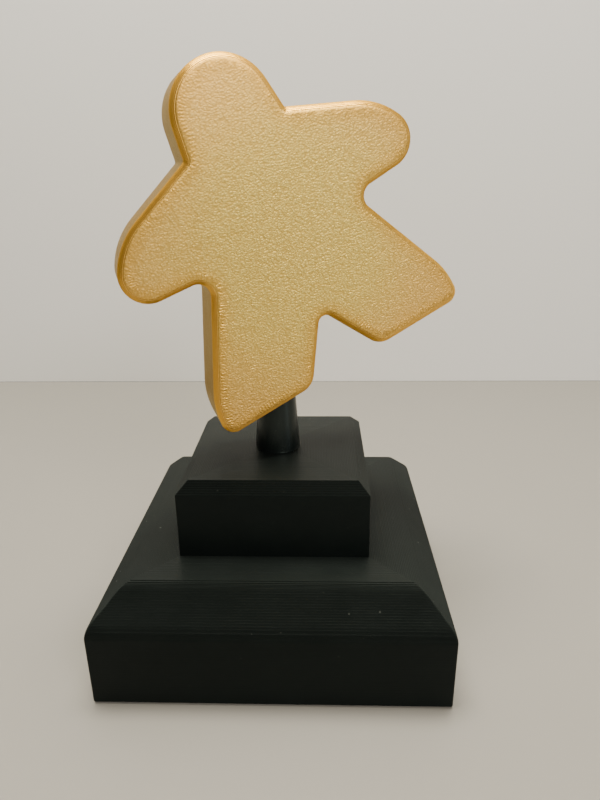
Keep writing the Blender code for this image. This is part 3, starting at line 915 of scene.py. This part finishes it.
face_height = math(t, "MULTIPLY", pressed, ramp(t, parts.outputs["Z"], -5.0, 80.0, 1.7, 0.4))
relief = math(t, "ADD", math(t, "MULTIPLY", face_height, on_face),
              math(t, "MULTIPLY", lines.outputs["Height"], math(t, "MULTIPLY_ADD", on_face, -0.10, 0.10)))
bump(t, shader, relief, 0.09)
print("material:", gold.name)

# %% [markdown]
# The base is ordinary black filament. Its colour hardly matters; the sheen does. Layer lines comb
# the light on the walls, the top faces show the straight passes of the nozzle, and dust and faint
# scuffs sit on both. One function makes the finish, and each part gets its own gloss.

# %% Black plastic
BLACK, DUST_GREY, RUBBED = (0.0036, 0.0050, 0.0047, 1), (0.16, 0.17, 0.15, 1), (0.009, 0.012, 0.011, 1)


def black_plastic(name, gloss, shine, passes, dust_amount, edge_wear=None):
    mat, t, shader = new_material(name)
    shader.inputs["Specular IOR Level"].default_value = shine
    shader.inputs["Specular Tint"].default_value = (0.84, 1.0, 0.97, 1)
    place = in_mm(t)
    parts = add(t, "ShaderNodeSeparateXYZ", Vector=place)
    normal = add(t, "ShaderNodeSeparateXYZ", Vector=add(t, "ShaderNodeNewGeometry").outputs["Normal"])
    flat_top = ramp(t, normal.outputs["Z"], 0.90, 0.98)
    side_x = math(t, "ABSOLUTE", parts.outputs["X"])
    side_y = math(t, "ABSOLUTE", parts.outputs["Y"])
    across = math(t, "MAXIMUM", side_x, side_y)
    top_lines = group_node(t, layer_group, Vector=place, Across=across, Pitch=passes)
    dust = group_node(t, dust_group, Vector=place, Amount=dust_amount)
    scuffs = group_node(t, scuff_group, Vector=place)
    mottle = noise(t, place, 12.0, 4.0, 0.6)
    colour = mix(t, math(t, "MULTIPLY", mottle, 0.35), BLACK, RUBBED)
    colour = mix(t, math(t, "MULTIPLY", scuffs.outputs["Mask"], 0.25), colour, RUBBED)
    if edge_wear is not None:
        corner = math(t, "ABSOLUTE", math(t, "SUBTRACT", side_x, side_y))
        worn = math(t, "MULTIPLY", ramp(t, corner, 0.1, 0.8, 1.0, 0.0),
                    ramp(t, noise(t, place, 4.0, 3.0), 0.45, 0.65))
        colour = mix(t, math(t, "MULTIPLY", worn, edge_wear), colour, RUBBED)
    colour = mix(t, math(t, "MULTIPLY", dust.outputs["Film"], 0.02), colour, DUST_GREY)
    colour = mix(t, dust.outputs["Mask"], colour, DUST_GREY)
    t.links.new(colour, shader.inputs["Base Color"])
    rough = math(t, "MULTIPLY_ADD", mottle, 0.14, gloss)
    rough = math(t, "MULTIPLY_ADD", scuffs.outputs["Mask"], -0.08, rough)
    t.links.new(math(t, "MULTIPLY_ADD", dust.outputs["Mask"], 0.3, rough), shader.inputs["Roughness"])
    grit = noise(t, place, 0.5, 3.0)
    height = math(t, "MULTIPLY_ADD", math(t, "MULTIPLY", top_lines.outputs["Height"], flat_top), 0.5,
                  math(t, "MULTIPLY", grit, 0.35))
    bump(t, shader, height, 0.05)
    return mat


NOZZLE_PASS = 0.45
black_low = black_plastic("black_lower_print", gloss=0.33, shine=0.08, passes=NOZZLE_PASS, dust_amount=0.4,
                          edge_wear=0.5)
black_up = black_plastic("black_upper_print", gloss=0.33, shine=0.10, passes=NOZZLE_PASS, dust_amount=0.3,
                         edge_wear=0.5)
black_stem = black_plastic("black_post_print", gloss=0.22, shine=0.40, passes=NOZZLE_PASS, dust_amount=0.2)
print("materials:", black_low.name, black_up.name, black_stem.name)

# %% [markdown]
# The hidden fixings are bought parts: a zinc-plated cap screw, a plain washer, a spring washer of
# blackened steel, a brass insert and two ground steel pins. Turned metal carries fine rings round
# its axis, zinc has a cloudy bloom, and oil darkens the roots.

# %% Metal of the fixings
turned_group, g_in, g_out = new_group(
    "turned_metal",
    [("Vector", "NodeSocketVector", None), ("Pitch", "NodeSocketFloat", 0.15)],
    [("Height", "NodeSocketFloat"), ("Bloom", "NodeSocketFloat")])
t = turned_group
axes = add(t, "ShaderNodeSeparateXYZ", Vector=g_in.outputs["Vector"])
radius = math(t, "SQRT", math(t, "ADD", math(t, "POWER", axes.outputs["X"], 2.0),
                              math(t, "POWER", axes.outputs["Y"], 2.0)))
along = math(t, "ADD", radius, axes.outputs["Z"])
rings = add(t, "ShaderNodeTexNoise", {"noise_dimensions": "1D"}, Detail=3.0, Scale=1.0,
            W=math(t, "DIVIDE", along, g_in.outputs["Pitch"])).outputs["Fac"]
t.links.new(rings, g_out.inputs["Height"])
t.links.new(noise(t, g_in.outputs["Vector"], 2.2, 4.0, 0.6), g_out.inputs["Bloom"])


def metal(name, bright, dark, rough, pitch=0.15, at_x=0.0):
    mat, t, shader = new_material(name)
    place = in_mm(t, Matrix.Translation((at_x, 0, 0)))
    turned = group_node(t, turned_group, Vector=place, Pitch=pitch)
    scuffs = group_node(t, scuff_group, Vector=place)
    colour = mix(t, ramp(t, turned.outputs["Bloom"], 0.35, 0.75), bright, dark)
    colour = mix(t, math(t, "MULTIPLY", scuffs.outputs["Mask"], 0.4), colour, bright)
    t.links.new(colour, shader.inputs["Base Color"])
    shader.inputs["Metallic"].default_value = 1.0
    t.links.new(math(t, "MULTIPLY_ADD", turned.outputs["Bloom"], 0.22, rough), shader.inputs["Roughness"])
    bump(t, shader, turned.outputs["Height"], 0.015)
    return mat


STEEL, STEEL_DARK = (0.56, 0.56, 0.57, 1), (0.42, 0.42, 0.43, 1)
FIXINGS = {
    "tie_bolt": metal("zinc_plate_bolt", (0.62, 0.63, 0.66, 1), (0.42, 0.43, 0.47, 1), rough=0.22),
    "washer": metal("zinc_plate_washer", (0.64, 0.64, 0.65, 1), (0.46, 0.46, 0.48, 1), rough=0.25,
                    pitch=0.2),
    "spring_washer": metal("black_spring_steel", (0.14, 0.14, 0.15, 1), (0.06, 0.06, 0.065, 1), rough=0.32),
    "leg_insert": metal("brass_knurled", (0.80, 0.58, 0.26, 1), (0.62, 0.41, 0.16, 1), rough=0.22),
    "dowel_left": metal("ground_steel_left", STEEL, STEEL_DARK, rough=0.16, pitch=0.08, at_x=-PIN_X),
    "dowel_right": metal("ground_steel_right", STEEL, STEEL_DARK, rough=0.16, pitch=0.08, at_x=PIN_X),
}
for node in ("washer", "spring_washer", "dowel_left", "dowel_right"):
    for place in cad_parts[node].material_slots:
        place.material = FIXINGS[node]
print("metals:", [finish.name for finish in FIXINGS.values()])

# %% [markdown]
# Last, each shape meets its finish and takes the place of its CAD node.

# %% Assemble
finish_piece("lower_plinth_print", lower_bm, "lower_plinth", black_low)
finish_piece("upper_plinth_print", upper_bm, "upper_plinth", black_up)
finish_piece("post_print", post_bm, "post", black_stem)
finish_piece("meeple_print", meeple_bm, "meeple", gold)
finish_piece("cap_screw", bolt_bm, "tie_bolt", FIXINGS["tie_bolt"])
finish_piece("threaded_insert", insert_bm, "leg_insert", FIXINGS["leg_insert"])
